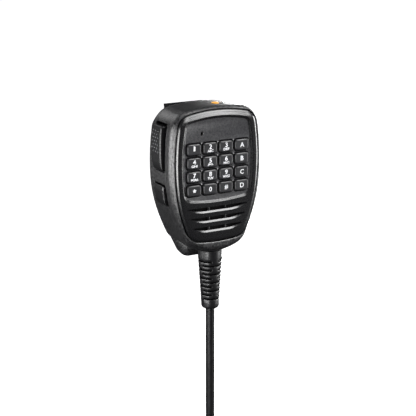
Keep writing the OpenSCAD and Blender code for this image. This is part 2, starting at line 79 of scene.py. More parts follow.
def centre_of(node):
    """Middle of a CAD node's box in helper coordinates."""
    low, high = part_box(node)
    middle = (low + high) / 2
    return middle.x / MM, (middle.y - FRONT) / MM, (TOP - middle.z) / MM


def new_object(name, data):
    """A new object, linked to the scene."""
    thing = bpy.data.objects.new(name, data)
    bpy.context.scene.collection.objects.link(thing)
    return thing


# ---------------------------------------------------------------- camera

AZIMUTH = math.radians(-28.5)
ELEVATION = math.radians(15.3)
CAMERA_DISTANCE = 0.740
AIM = Vector((-0.0095, -0.0434, -0.0367))
LENS_MM = 110.77

camera_data = bpy.data.cameras.new("camera")
camera_data.lens = LENS_MM
camera_data.sensor_width = 36
camera_data.clip_start = 0.02
camera_data.clip_end = 60
camera = new_object("camera", camera_data)
camera.location = AIM + CAMERA_DISTANCE * Vector((
    math.sin(AZIMUTH) * math.cos(ELEVATION),
    -math.cos(AZIMUTH) * math.cos(ELEVATION),
    math.sin(ELEVATION),
))
camera.rotation_euler = (math.pi / 2 - ELEVATION, 0, AZIMUTH)
bpy.context.scene.camera = camera


# ---------------------------------------------------------------- node materials

def new_material(name):
    """A material with its nodes, its shader, and object coordinates for the textures."""
    material = bpy.data.materials.new(name)
    material.use_nodes = True
    tree = material.node_tree
    shader = tree.nodes["Principled BSDF"]
    coordinates = tree.nodes.new("ShaderNodeTexCoord")
    return material, tree, shader, coordinates.outputs["Object"]


def set_inputs(node, inputs):
    """Sets unlinked inputs of a node by their names."""
    for name, value in inputs.items():
        node.inputs[name].default_value = value


def add_node(tree, kind, inputs, links):
    """A node with some inputs set, and others linked to outputs, all by their names."""
    node = tree.nodes.new("ShaderNode" + kind)
    set_inputs(node, inputs)
    for name, output in links.items():
        tree.links.new(output, node.inputs[name])
    return node


def noise(tree, where, scale, detail):
    """A noise texture, with features about 1/scale metres across."""
    return add_node(tree, "TexNoise", {"Scale": scale, "Detail": detail}, {"Vector": where}).outputs["Fac"]


def spread(tree, value, low, high):
    """A noise value, mostly 0.3 to 0.7, mapped to low to high."""
    limits = {"From Min": 0.3, "From Max": 0.7, "To Min": low, "To Max": high}
    return add_node(tree, "MapRange", limits, {"Value": value}).outputs["Result"]


def two_tone(tree, value, dark, light):
    """A colour between two, by a 0 to 1 value."""
    node = add_node(tree, "ValToRGB", {}, {"Fac": value})
    for element, position, colour in zip(node.color_ramp.elements, (0.35, 0.65), (dark, light)):
        element.position = position
        element.color = (*colour, 1)
    return node.outputs["Color"]


def tinted(colour, factor):
    """A colour made darker or lighter by a factor."""
    return tuple(min(1, c * factor) for c in colour)


def add_bump(tree, shader, height, strength, distance):
    """Bumps on a shader's surface, distance in metres."""
    node = add_node(tree, "Bump", {"Strength": strength, "Distance": distance}, {"Height": height})
    tree.links.new(node.outputs["Normal"], shader.inputs["Normal"])


def moulded(name, colour, rough, grain=0.4, grain_mm=0.3, tone=0.25, specular=0.5, speckle=0.0):
    """Moulded plastic or rubber: a fine grain, and slight changes of colour and gloss.

    tone is how far the colour changes. speckle is how far the colour and the strength of the
    highlights also change with the grain.
    """
    material, tree, shader, where = new_material(name)
    broad = noise(tree, where, 70, 3)
    fine = noise(tree, where, 1000 / grain_mm, 2)
    both = add_node(tree, "Mix", {"Factor": speckle}, {"A": broad, "B": fine}).outputs["Result"]
    colours = two_tone(tree, both, tinted(colour, 1 - tone), tinted(colour, 1 + tone))
    tree.links.new(colours, shader.inputs["Base Color"])
    tree.links.new(spread(tree, fine, rough - 0.06, rough + 0.06), shader.inputs["Roughness"])
    add_bump(tree, shader, fine, grain, grain_mm * 0.45 * MM)
    if speckle:
        flecks = spread(tree, fine, specular * (1 - speckle), specular * (1 + speckle))
        tree.links.new(flecks, shader.inputs["Specular IOR Level"])
    else:
        shader.inputs["Specular IOR Level"].default_value = specular
    return material


def metal(name, colour, rough):
    """Bare or plated metal with fine scratches."""
    material, tree, shader, where = new_material(name)
    stretch = add_node(tree, "Mapping", {"Scale": (1, 1, 14)}, {"Vector": where})
    lines = noise(tree, stretch.outputs["Vector"], 900, 3)
    tree.links.new(two_tone(tree, lines, tinted(colour, 0.85), colour), shader.inputs["Base Color"])
    tree.links.new(spread(tree, lines, rough - 0.07, rough + 0.07), shader.inputs["Roughness"])
    add_bump(tree, shader, lines, 0.15, 0.03 * MM)
    shader.inputs["Metallic"].default_value = 1
    return material


def clear(name, colour, rough):
    """Clear moulded resin, slightly tinted and flowed."""
    material, tree, shader, where = new_material(name)
    flow = noise(tree, where, 160, 2)
    tree.links.new(two_tone(tree, flow, tinted(colour, 0.9), colour), shader.inputs["Base Color"])
    tree.links.new(spread(tree, flow, rough, rough + 0.05), shader.inputs["Roughness"])
    set_inputs(shader, {"Transmission Weight": 0.75, "IOR": 1.45})
    return material


def woven(name, colour, thread_mm):
    """Fine cloth with a square weave."""
    material, tree, shader, where = new_material(name)
    weave = tree.nodes.new("ShaderNodeMath")
    weave.operation = "MULTIPLY"
    for direction, factor in zip("XZ", weave.inputs):
        wave = add_node(tree, "TexWave", {"Scale": 50 / thread_mm}, {"Vector": where})
        wave.bands_direction = direction
        tree.links.new(wave.outputs["Fac"], factor)
    height = weave.outputs["Value"]
    tree.links.new(two_tone(tree, height, colour, tinted(colour, 2.5)), shader.inputs["Base Color"])
    add_bump(tree, shader, height, 0.5, 0.08 * MM)
    set_inputs(shader, {"Roughness": 0.85, "Specular IOR Level": 0.1})
    return material


def laminate(name, colour):
    """A circuit board: solder mask with copper tracks faintly under it."""
    material, tree, shader, where = new_material(name)
    tones = {"Color1": 1, "Color2": 0.8, "Mortar": 2.2}
    colours = {part: (*tinted(colour, factor), 1) for part, factor in tones.items()}
    tracks = add_node(tree, "TexBrick", {"Scale": 260, "Mortar Size": 0.03, **colours}, {"Vector": where})
    tree.links.new(tracks.outputs["Color"], shader.inputs["Base Color"])
    shader.inputs["Roughness"].default_value = 0.35
    return material


# What moulded() takes: colour, roughness, grain strength, grain size in mm, tone, specular, speckle.
MOULDED = {
    "shell_plastic": ((0.005, 0.005, 0.0057), 0.43, 0.2, 1.1, 0.4, 0.75, 0.65),
    "panel_plastic": ((0.005, 0.005, 0.0056), 0.27, 0.05, 0.3, 0.1, 0.55),
    "panel_floor": ((0.018, 0.018, 0.020), 0.46, 0.12, 0.7, 0.25, 0.55, 0.35),
    "key_rubber": ((0.015, 0.015, 0.0165), 0.36, 0.08, 0.35, 0.12, 0.5),
    "button_rubber": ((0.004, 0.004, 0.0045), 0.32, 0.1, 0.4, 0.12, 0.35),
    "nub_rubber": ((0.04, 0.04, 0.043), 0.36, 0.05, 0.4, 0.12),
    # pip_grey is light grey as a painted highlight: it stands in for small glints between the keys.
    "pip_grey": ((0.30, 0.30, 0.31), 0.3, 0.05, 0.3, 0.1),
    "legend_white": ((0.74, 0.75, 0.77), 0.45, 0.1, 0.3, 0.03),
    "orange_plastic": ((0.66, 0.30, 0.03), 0.42, 0.15, 0.3, 0.08),
    "clip_plastic": ((0.0015, 0.0015, 0.0018), 0.22, 0.05, 0.45, 0.15, 0.06),
    "relief_rubber": ((0.005, 0.005, 0.0056), 0.38, 0.02, 3.0, 0.12, 0.42),
    # slot_shade is painted shade: near-black for the insides of the strain relief's slots, the same rubber
    # where it lies in shadow.
    "slot_shade": ((0.0012, 0.0012, 0.0014), 0.7, 0.02, 2.0, 0.2, 0.05),
    "cable_jacket": ((0.005, 0.005, 0.0056), 0.36, 0.02, 3.0, 0.12, 0.36),
    "tie_strap": ((0.02, 0.02, 0.02), 0.55, 0.4, 0.4),
    "boot_rubber": ((0.016, 0.016, 0.017), 0.45, 0.3, 0.4),
    "seal_rubber": ((0.012, 0.012, 0.012), 0.7, 0.4, 0.3),
    "mat_silicone": ((0.28, 0.28, 0.3), 0.5, 0.2, 0.4),
    "chip_plastic": ((0.03, 0.03, 0.03), 0.5, 0.3, 0.2),
    "foam": ((0.03, 0.03, 0.03), 0.9, 1.0, 0.5),
    "cone_paper": ((0.04, 0.04, 0.04), 0.8, 0.5, 0.4),
    "lamp_body": ((0.85, 0.82, 0.6), 0.3, 0.1, 0.3, 0.05),
    "clamp_plastic": ((0.2, 0.2, 0.21), 0.45, 0.2, 0.3),
    "connector_plastic": ((0.75, 0.73, 0.66), 0.4, 0.1, 0.3, 0.05),
}
# What metal() and clear() take: colour and roughness.
METAL = {
    "dome_metal": ((0.72, 0.72, 0.74), 0.25),
    "screw_steel": ((0.5, 0.5, 0.52), 0.32),
    "capsule_metal": ((0.72, 0.72, 0.72), 0.3),
    "speaker_metal": ((0.42, 0.42, 0.43), 0.4),
    "pin_steel": ((0.58, 0.58, 0.6), 0.22),
    "contact_gold": ((0.85, 0.62, 0.25), 0.2),
}
CLEAR = {
    "lens_clear": ((0.9, 0.93, 0.96), 0.12),
    "plug_clear": ((0.8, 0.85, 0.87), 0.08),
}
MATERIALS = {
    name: maker(name, *values)
    for maker, table in ((moulded, MOULDED), (metal, METAL), (clear, CLEAR))
    for name, values in table.items()
}
MATERIALS["mesh_cloth"] = woven("mesh_cloth", (0.0015, 0.0015, 0.0015), 0.35)
MATERIALS["board_laminate"] = laminate("board_laminate", (0.03, 0.2, 0.09))

for row in frame["record"]["subparts"]:
    data = NODES[row["node"]].data
    data.materials.clear()
    data.materials.append(MATERIALS[row["material_slot"]])


# ---------------------------------------------------------------- shapes: (vertices, faces)

def blend_value(a, b, t):
    """From a at t = 0 to b at t = 1."""
    return a + (b - a) * t


def ease(t):
    """Smooth 0 to 1."""
    t = min(1.0, max(0.0, t))
    return t * t * (3 - 2 * t)


def loft(rings, close=False):
    """A skin over rings with equal counts of points, capped, or closed from last to first."""
    count = len(rings[0])
    vertices = [p for ring in rings for p in ring]
    faces = []
    spans = len(rings) if close else len(rings) - 1
    for j in range(spans):
        a, b = j * count, (j + 1) % len(rings) * count
        for i in range(count):
            k = (i + 1) % count
            faces.append((a + i, a + k, b + k, b + i))
    if not close:
        faces.append(tuple(range(count - 1, -1, -1)))
        faces.append(tuple((len(rings) - 1) * count + i for i in range(count)))
    return vertices, faces


def joined(shapes):
    """Several shapes as one."""
    vertices, faces = [], []
    for some, corners in shapes:
        base = len(vertices)
        vertices.extend(some)
        faces.extend(tuple(base + i for i in face) for face in corners)
    return vertices, faces


def circle(radius, count):
    """Points of a circle about 0."""
    angles = [2 * math.pi * i / count for i in range(count)]
    return [(radius * math.cos(a), radius * math.sin(a)) for a in angles]


def round_rect(width, height, radius, steps=5):
    """Points of a rounded rectangle about 0, counter-clockwise."""
    points = []
    for sx, sy, start in ((1, 1, 0), (-1, 1, 90), (-1, -1, 180), (1, -1, 270)):
        for k in range(steps + 1):
            a = math.radians(start + 90 * k / steps)
            points.append((
                sx * (width / 2 - radius) + radius * math.cos(a),
                sy * (height / 2 - radius) + radius * math.sin(a),
            ))
    return points


def front_rings(x, drop, layers, steps=5):
    """Rings of rounded rectangles facing the front: layers are (width, height, radius, depth)."""
    return [[place(x + px, depth, drop - pz) for px, pz in round_rect(w, h, r, steps)]
            for w, h, r, depth in layers]


def circle_rings(x, drop, layers, count):
    """Rings of circles facing the front: layers are (radius, depth)."""
    return [[place(x + px, depth, drop - pz) for px, pz in circle(r, count)] for r, depth in layers]


def turned(x, depth, layers, count):
    """Rings of circles about an upright axis: layers are (radius, drop)."""
    return [[place(x + px, depth + pd, drop) for px, pd in circle(r, count)] for r, drop in layers]


def box_shape(x0, x1, d0, d1, drop0, drop1):
    """A box by its limits."""
    return loft([[place(x, d, drop) for x, d in ((x0, d0), (x1, d0), (x1, d1), (x0, d1))]
                 for drop in (drop0, drop1)])


# ---------------------------------------------------------------- pieces

def mesh_from(name, vertices, faces):
    """A mesh with its normals outward."""
    mesh = bpy.data.meshes.new(name)
    mesh.from_pydata(vertices, [], faces)
    mesh.validate()
    form = bmesh.new()
    form.from_mesh(mesh)
    bmesh.ops.recalc_face_normals(form, faces=form.faces)
    form.to_mesh(mesh)
    form.free()
    return mesh


def add_piece(name, shape, material, body="housing", replaces=None):
    """Puts a shape in the scene as a piece of the object.

    It takes the material given, is attached to its body, and hides the CAD node that it replaces, if any.
    """
    mesh = mesh_from(name, *shape)
    mesh.materials.append(MATERIALS[material])
    piece = new_object(name, mesh)
    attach(piece, body)
    if replaces:
        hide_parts(replaces)
    return piece


def add_wire(name, points, width_mm, resolution, material):
    """Puts a round wire or cord in the scene, as a curve of one open spline."""
    line = bpy.data.curves.new(name, "CURVE")
    line.dimensions = "3D"
    line.bevel_depth = width_mm / 2 * MM
    line.bevel_resolution = resolution
    line.use_fill_caps = True
    spline = line.splines.new("POLY")
    spline.points.add(len(points) - 1)
    for point, at in zip(spline.points, points):
        point.co = (*at, 1)
    line.materials.append(MATERIALS[material])
    piece = new_object(name, line)
    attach(piece, "housing")
    return piece


def apply_modifiers(piece):
    """Bakes a piece's modifiers into its mesh."""
    bpy.context.view_layer.update()
    graph = bpy.context.evaluated_depsgraph_get()
    baked = bpy.data.meshes.new_from_object(piece.evaluated_get(graph))
    piece.modifiers.clear()
    piece.data = baked


def combine(piece, tools, operation="DIFFERENCE"):
    """Cuts closed tool shapes out of a piece, or joins them to it."""
    for shape in tools:
        tool = new_object("tool", mesh_from("tool", *shape))
        step = piece.modifiers.new("step", "BOOLEAN")
        step.operation = operation
        step.solver = "EXACT"
        step.object = tool
        apply_modifiers(piece)
        bpy.data.objects.remove(tool)


def smooth(piece, degrees=35):
    """Smooth shading, with edges sharper than this kept sharp."""
    piece.data.shade_smooth()
    piece.data.set_sharp_from_angle(angle=math.radians(degrees))


def soften(piece, width_mm, segments=2, limit=40, degrees=35):
    """Rounds a piece's edges sharper than the limit, in degrees, and shades it smooth."""
    step = piece.modifiers.new("round", "BEVEL")
    step.width = width_mm * MM
    step.segments = segments
    step.limit_method = "ANGLE"
    step.angle_limit = math.radians(limit)
    step.harden_normals = False
    apply_modifiers(piece)
    smooth(piece, degrees)


# ---------------------------------------------------------------- the cord

# The stored cord is a flat hank: turns that are LAYER apart in depth, each with two half-circle
# folds of radius FOLD and straight runs of HANK_RUN between them.
CORD_DEPTH = 9.5
CORD_WIDTH = 5.4
LAYER = CORD_WIDTH + 0.1
RELIEF_END = 124.6
FOLD = 16.4
HANK_TURNS = 5
HANK_RUN = 49
HANK_TOP = 214
FOLD_TOP = HANK_TOP + FOLD + CORD_WIDTH / 2
FOLD_BOTTOM = FOLD_TOP + HANK_RUN
HANK_BOTTOM = FOLD_BOTTOM + FOLD + CORD_WIDTH / 2
TAIL_END = HANK_BOTTOM + 18
TAIL_DEPTH = CORD_DEPTH + HANK_TURNS * LAYER
BEND_START = 223


def cord_route():
    """The cord's middle line: down from the strain relief, through the hank, and to the plug."""
    route = [(0, CORD_DEPTH, drop) for drop in (RELIEF_END, 136, 148, 160, 172, 184, 199, HANK_TOP)]
    for k in range(9):
        t = k / 8
        route.append((-FOLD * ease(t), CORD_DEPTH, blend_value(BEND_START, FOLD_BOTTOM, t)))
    for turn in range(HANK_TURNS):
        depth = CORD_DEPTH + turn * LAYER
        for k in range(1, 17):
            a = math.pi * k / 16
            route.append((-FOLD * math.cos(a), depth, FOLD_BOTTOM + FOLD * math.sin(a)))
        for k in range(1, 9):
            t = k / 8
            route.append((FOLD, depth + LAYER * ease(t), blend_value(FOLD_BOTTOM, FOLD_TOP, t)))
        for k in range(1, 17):
            a = math.pi * k / 16
            route.append((FOLD * math.cos(a), depth + LAYER, FOLD_TOP - FOLD * math.sin(a)))
        if turn < HANK_TURNS - 1:
            route.extend((-FOLD, depth + LAYER, blend_value(FOLD_TOP, FOLD_BOTTOM, k / 4))
                         for k in range(1, 4))
            route.append((-FOLD, depth + LAYER, FOLD_BOTTOM))
    for k in range(1, 9):
        t = k / 8
        route.append((-FOLD * (1 - ease(t)), TAIL_DEPTH, blend_value(FOLD_TOP, FOLD_BOTTOM + 6, t)))
    route.extend((0, TAIL_DEPTH, drop) for drop in (HANK_BOTTOM - 6, HANK_BOTTOM + 3, TAIL_END - 7, TAIL_END))
    return [place(*point) for point in route]


cord = add_wire("cable_line", cord_route(), CORD_WIDTH, 5, "cable_jacket")
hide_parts("cable", "cable_hank", "cable_tail")


def hank_tie():
    """A flat strap round the middle of the hank, with a small lock."""
    half_w = FOLD + CORD_WIDTH / 2
    d0 = CORD_DEPTH - CORD_WIDTH / 2
    d1 = TAIL_DEPTH + CORD_WIDTH / 2
    middle = (FOLD_TOP + FOLD_BOTTOM) / 2
    rings = []
    for out, half_h in ((0.05, 3.6), (0.7, 3.9), (1.15, 3.3), (1.15, -3.3), (0.7, -3.9), (0.05, -3.6)):
        rings.append([
            place(px, (d0 + d1) / 2 + pd, middle - half_h)
            for px, pd in round_rect(2 * (half_w + out), d1 - d0 + 2 * out, 2 + out)
        ])
    strap = loft(rings, close=True)
    lock = box_shape(half_w - 7, half_w - 1, d0 - 1.2, d0 + 0.02, middle - 3.95, middle + 3.95)
    piece = add_piece("hank_strap", joined([strap, lock]), "tie_strap", replaces="hank_tie")
    soften(piece, 0.25)
    return piece


def upright_rect(depth, width, thick, radius, drop, count):
    """A ring across the cord, a rounded rectangle with count points that starts on the +x side."""
    points = round_rect(width, thick, radius, count // 4 - 1)
    shift = (count // 4) // 2
    points = points[-shift:] + points[:-shift]
    return [place(px, depth + pd, drop) for px, pd in points]


def plug_boot():
    """The plug's ribbed boot: round at the cable, then a rounded rectangle at the plug."""
    ribs = ((3.0, 0), (3.35, 0.5), (3.4, 2.6), (2.95, 2.9), (2.95, 3.6), (3.5, 3.9), (3.6, 5.8),
            (3.05, 6.1), (3.05, 6.8))
    shoulder = ((7.6, 7.0, 7.4), (9.6, 7.4, 8.6), (10.3, 7.5, 9.8), (10.3, 7.5, 11.9))
    rings = turned(0, TAIL_DEPTH, [(r, TAIL_END + drop) for r, drop in ribs], 24)
    rings.extend(upright_rect(TAIL_DEPTH, w, d, 1.6, TAIL_END + drop, 24) for w, d, drop in shoulder)
    piece = add_piece("plug_sleeve", loft(rings), "boot_rubber", replaces="plug_boot")
    smooth(piece)
    return piece


def plug_pieces():
    """The modular plug: its boot, a clear body with gold contacts, and its latch."""
    boot = plug_boot()
    top, end = TAIL_END + 12, TAIL_END + 33
    d0, d1 = TAIL_DEPTH - 4.05, TAIL_DEPTH + 4.05
    columns = [(i - 3.5) * 1.02 for i in range(8)]
    body = add_piece("plug_shell", box_shape(-5.85, 5.85, d0, d1, top, end), "plug_clear",
                     replaces="plug_body")
    slots = joined([box_shape(x - 0.22, x + 0.22, d0 - 1, d0 + 1.2, end - 6.5, end + 1) for x in columns])
    combine(body, [slots, box_shape(-4.6, 4.6, d0 + 1.6, d1 - 1.6, top - 1, top + 9)])
    soften(body, 0.12)

    blades = [box_shape(x - 0.16, x + 0.16, d0 + 0.25, d0 + 1.15, end - 6.2, end - 0.4) for x in columns]
    contacts = add_piece("plug_contacts", joined(blades), "contact_gold")
    soften(contacts, 0.08, 1)

    side = ((0, 1), (0.9, 1.8), (1.35, 4.5), (1.9, 10), (2.6, 14.6), (1.9, 15.2), (1.15, 11),
            (0.5, 6.2), (0, 5.8))
    tab = loft([[place(x, d1 + out, end - up) for out, up in side] for x in (-1.6, 1.6)])
    shoulder = box_shape(-3, 3, d1, d1 + 1.0, end - 5.6, end - 1.2)
    latch = add_piece("plug_tab", joined([tab, shoulder]), "plug_clear", replaces="plug_latch")
    soften(latch, 0.2)
    return [boot, body, contacts, latch]


strap = hank_tie()
plug = plug_pieces()


# ---------------------------------------------------------------- outlines of the housing

class Outline:
    """A closed outline of tangent arcs from the middle of its top, the same on both sides.

    drop is where the top lies, and each arc is a radius and a sweep in degrees. One more arc, about
    a centre on the middle line, closes the bottom. Points are asked for by heading, the direction
    of the tangent in degrees, 0 to 360 clockwise.
    """

    def __init__(self, drop, arcs):
        self.arcs = []
        x, z, heading = 0.0, -drop, 0.0
        for radius, sweep in arcs:
            a = math.radians(heading)
            cx, cz = x - radius * math.sin(a), z - radius * math.cos(a)
            self.arcs.append((heading + sweep, cx, cz, radius))
            heading += sweep
            a = math.radians(heading)
            x, z = cx + radius * math.sin(a), cz + radius * math.cos(a)
        radius = x / math.sin(math.radians(heading))
        self.arcs.append((180.0, 0.0, z - radius * math.cos(math.radians(heading)), radius))

    def at(self, heading, inset=0.0):
        """(x, drop) of the outline, moved in by inset, at a heading."""
        half = heading if heading <= 180 else 360 - heading
        side = 1 if heading <= 180 else -1
        for end, cx, cz, radius in self.arcs:
            if half <= end + 1e-6:
                break
        a = math.radians(half)
        reach = radius - inset
        return side * (cx + reach * math.sin(a)), -(cz + reach * math.cos(a))

    def ring(self, inset, depth):
        """A ring at one depth. Inset and depth may be functions of the heading."""
        points = []
        for h in HEADINGS:
            i = inset(h) if callable(inset) else inset
            d = depth(h) if callable(depth) else depth
            x, drop = self.at(h, i)
            points.append(place(x, d, drop))
        return points


HEADINGS = [2.5 * i for i in range(144)]
BODY = Outline(0, [(126, 8), (13.5, 74), (148, 11), (88, 15), (120, 8), (11, 40)])
PANEL = Outline(2.1, [(90, 12), (8.6, 69), (140, 15.5), (86, 17.5), (9, 59)])
RECESS = Outline(5.6, [(85, 12), (4.6, 68), (128, 17.6), (5.2, 73.9)])

BODY_DEPTH = 33
PARTING = 8
WALL_IN = 2.3
POCKET_FLOOR = 2.5
SHELL_FLOOR = 4.2
ROUND_IN, ROUND_BACK = 4.2, 4.6
GROOVE = 0.5
# Where the rounding of the shell's edge ends, as an inset of the panel's outline.
GROOVE_EDGE = -GROOVE - 0.5
MIC_X, MIC_DROP = -10.1, 15
TALK_TOP, TALK_BOTTOM = 10.7, 36.7
LOWER_TOP, LOWER_BOTTOM = 46.1, 57.7


def front_round(inset):
    """Depth of the front shell's rounded edge at a distance in from the outline."""
    t = max(0.0, 1 - inset / ROUND_IN)
    return ROUND_BACK * (1 - math.sqrt(1 - t * t))


def edge_width(h):
    """Distance from the body's outline to the panel's groove, at a heading."""
    bx, bd = BODY.at(h)
    qx, qd = PANEL.at(h, GROOVE_EDGE)
    a = math.radians(h)
    return (bx - qx) * math.sin(a) + (qd - bd) * math.cos(a)


def front_skin_ring(t):
    """A ring of the rounded edge, from the side at t = 0 to the panel's groove at t = 1."""
    share = 1 - math.cos(t * math.pi / 2)
    points = []
    for h in HEADINGS:
        bx, bd = BODY.at(h)
        qx, qd = PANEL.at(h, GROOVE_EDGE)
        depth = front_round(share * edge_width(h))
        points.append(place(blend_value(bx, qx, share), depth, blend_value(bd, qd, share)))
    return points


def groove_depth(deeper, least=-9.0):
    """Depths for a ring in the groove: deeper than the shell's surface there, and at least least."""
    return lambda h: max(least, front_round(edge_width(h)) + deeper)


def side_pocket_tools():
    """Cutters for the two side buttons: an opening, and a flared mouth round it."""
    tools = []
    for top, bottom, gap, flare in ((TALK_TOP, TALK_BOTTOM, 1.6, 1.6), (LOWER_TOP, LOWER_BOTTOM, 1.0, 1.3)):
        # x, first and last depth, first and last drop, and corner radius, from outside inwards
        layers = (
            (-36.0, 7.4, 25.5, top - gap - 2.6, bottom + flare + 2.2, 2.5),
            (-31.0, 8.0, 23.6, top - gap - 0.5, bottom + flare, 2.2),
            (-29.4, 8.3, 22.8, top - gap, bottom + 0.6, 1.6),
            (-24.0, 8.3, 22.6, top - gap, bottom + 0.6, 1.5),
        )
        rings = []
        for x, d0, d1, drop0, drop1, radius in layers:
            points = round_rect(d1 - d0, drop1 - drop0, radius)
            rings.append([place(x, (d0 + d1) / 2 + pd, (drop0 + drop1) / 2 - pz) for pd, pz in points])
        tools.append(loft(rings))
    return tools


def front_shell():
    """Front shell: rounded edge, groove round the panel, pocket and windows behind the panel."""
    rings = [BODY.ring(WALL_IN, SHELL_FLOOR), BODY.ring(WALL_IN, PARTING), BODY.ring(0.18, PARTING)]
    rings.append(BODY.ring(0, PARTING - 0.18))
    rings.append(BODY.ring(0, 6.2))
    rings.extend(front_skin_ring(k / 9) for k in range(10))
    rings.append(PANEL.ring(-GROOVE - 0.42, groove_depth(0.03)))
    rings.append(PANEL.ring(-GROOVE - 0.05, groove_depth(0.38)))
    rings.append(PANEL.ring(-GROOVE + 0.05, groove_depth(0.7, 1.5)))
    rings.append(PANEL.ring(-GROOVE + 0.1, POCKET_FLOOR))
    piece = add_piece("front_housing", loft(rings), "shell_plastic", replaces="front_shell")
    keypad_window = front_rings(0, 35.85, ((42.4, 32.4, 1.5, 1), (42.4, 32.4, 1.5, 6)))
    sound_window = circle_rings(0, 67.4, ((10.7, 1), (10.7, 6)), 48)
    mic_window = circle_rings(MIC_X, MIC_DROP, ((1.2, 1), (1.2, 6)), 20)
    cord_hole = turned(0, CORD_DEPTH, ((6.25, 79), (6.25, 100)), 40)
    windows = [loft(hole) for hole in (keypad_window, sound_window, mic_window, cord_hole)]
    combine(piece, side_pocket_tools() + windows)
    smooth(piece, 30)


def rear_round_ring(degrees):
    """A ring of the rear rounding, which is larger round the housing's top than at its sides."""
    a = math.radians(degrees)

    def top_part(h):
        """1 round the housing's top, 0 along its sides and bottom."""
        half = h if h <= 180 else 360 - h
        return 1 - ease((half - 48) / 60)

    def inset(h):
        return 0.1 + (4.2 + 3.2 * top_part(h)) * (1 - math.cos(a))

    def depth(h):
        start = 27 - 6 * top_part(h)
        return start + (BODY_DEPTH - start) * math.sin(a)

    return BODY.ring(inset, depth)


def rear_shell():
    """Rear shell: walls, rounded back, chin behind the cord, pockets, and screw recesses."""
    rings = [BODY.ring(WALL_IN, PARTING + 0.02), BODY.ring(0.45, PARTING + 0.02)]
    rings.append(BODY.ring(0.1, PARTING + 0.25))
    rings.extend(BODY.ring(0.1, depth) for depth in (11, 14, 17, 20))
    rings.extend(rear_round_ring(90 * k / 12) for k in range(13))
    rings.append(BODY.ring(9.5, BODY_DEPTH))
    outer = len(rings)
    rings.append(BODY.ring(9.5, BODY_DEPTH - 2))
    rings.append(BODY.ring(7, BODY_DEPTH - 2.6))
    rings.append(BODY.ring(4.2, 27.5))
    rings.append(BODY.ring(WALL_IN, 20))
    vertices, faces = loft(rings, close=True)
    # The back's last ring and the inside's first ring are each closed by a face, not joined.
    count = len(HEADINGS)
    faces = [f for f in faces if not (min(f) // count == outer - 1 and max(f) // count == outer)]
    faces.append(tuple((outer - 1) * count + i for i in range(count)))
    faces.append(tuple(outer * count + i for i in range(count)))
    piece = add_piece("rear_housing", (vertices, faces), "shell_plastic", replaces="rear_shell")
    combine(piece, [chin()], "UNION")
    bx, bd, _ = centre_of("top_button")
    lx, ld, _ = centre_of("lamp_lens")
    holes = [
        turned(0, CORD_DEPTH, ((6.25, 79), (6.25, 88), (8.3, 88.05), (8.3, 130)), 40),
        turned(bx, bd, ((3.1, -4), (3.1, 0.18), (2.45, 0.55), (2.45, 4)), 32),
        turned(lx, ld, ((1.5, -4), (1.5, 0.25), (1.02, 0.6), (1.02, 4)), 24),
    ]
    for x, drop in ((19, 6.2), (-19, 6.2), (16.5, 73), (-16.5, 73)):
        holes.append(circle_rings(x, drop, ((2.5, 26), (2.5, 32), (3.0, 33.2), (3.0, 34)), 28))
    combine(piece, side_pocket_tools() + [loft(hole) for hole in holes])
    smooth(piece, 30)


def chin():
    """The rounded lobe under the rear shell, behind the cord: a skin pulled over six balls."""
    radius, steps = 6.4, 14
    form = bmesh.new()
    for s in (-1, 1):
        for x, depth, drop in ((7.8, 23.4, 88.2), (7.8, 26.4, 87.6), (11.8, 25.5, 80)):
            for j in range(steps + 1):
                a = math.pi * j / steps
                for px, pd in circle(radius * math.sin(a), 2 * steps if 0 < j < steps else 1):
                    form.verts.new(place(s * x + px, depth + pd, drop + radius * math.cos(a)))
    bmesh.ops.convex_hull(form, input=form.verts)
    bmesh.ops.delete(form, geom=[v for v in form.verts if not v.link_faces], context="VERTS")
    form.verts.index_update()
    shape = [v.co.copy() for v in form.verts], [tuple(v.index for v in f.verts) for f in form.faces]
    form.free()
    return shape


front_shell()
rear_shell()


# ---------------------------------------------------------------- front panel

FACE_DEPTH = -0.35
RECESS_FLOOR = 0.5
KEY_W, KEY_H = 8.7, 6.3
HOLE_W, HOLE_H = KEY_W + 0.9, KEY_H + 0.9
PITCH_X, PITCH_Z = 10.5, 8.1
ROW_DROP = 23.7
SLOT_H = 2.8
SLOTS = ((58.8, 19.6), (64.7, 18.0), (70.6, 16.2))


def key_place(column, row):
    """(x, drop) of the middle of a key."""
    return (column - 1.5) * PITCH_X, ROW_DROP + row * PITCH_Z


def top_share(h):
    """1 along the panel's top edge, 0 along its sides and bottom."""
    half = h if h <= 180 else 360 - h
    return 1 - ease((half - 12) / 55)


def band_depth(side, top):
    """Depths for a ring that blends from its sides and bottom to its top edge."""
    return lambda h: blend_value(side, top, top_share(h))


def slot_outline(half_w, grow_low, grow_end):
    """(x, z) points of a sound slot about its top edge, grown at its lower edge and its ends."""
    points = []
    h = SLOT_H + grow_low
    w = half_w + grow_end
    shape = ((1.0, 0.12), (0.93, 0.3), (0.8, 0.58), (0.68, 0.8), (0.57, 0.93), (0.47, 1.0))
    for s in (1, -1):
        side = [(s * (w - 0.5), 0.0), *((s * w * fx, -h * fz) for fx, fz in shape)]
        points.extend(side if s == 1 else reversed(side))
    return points


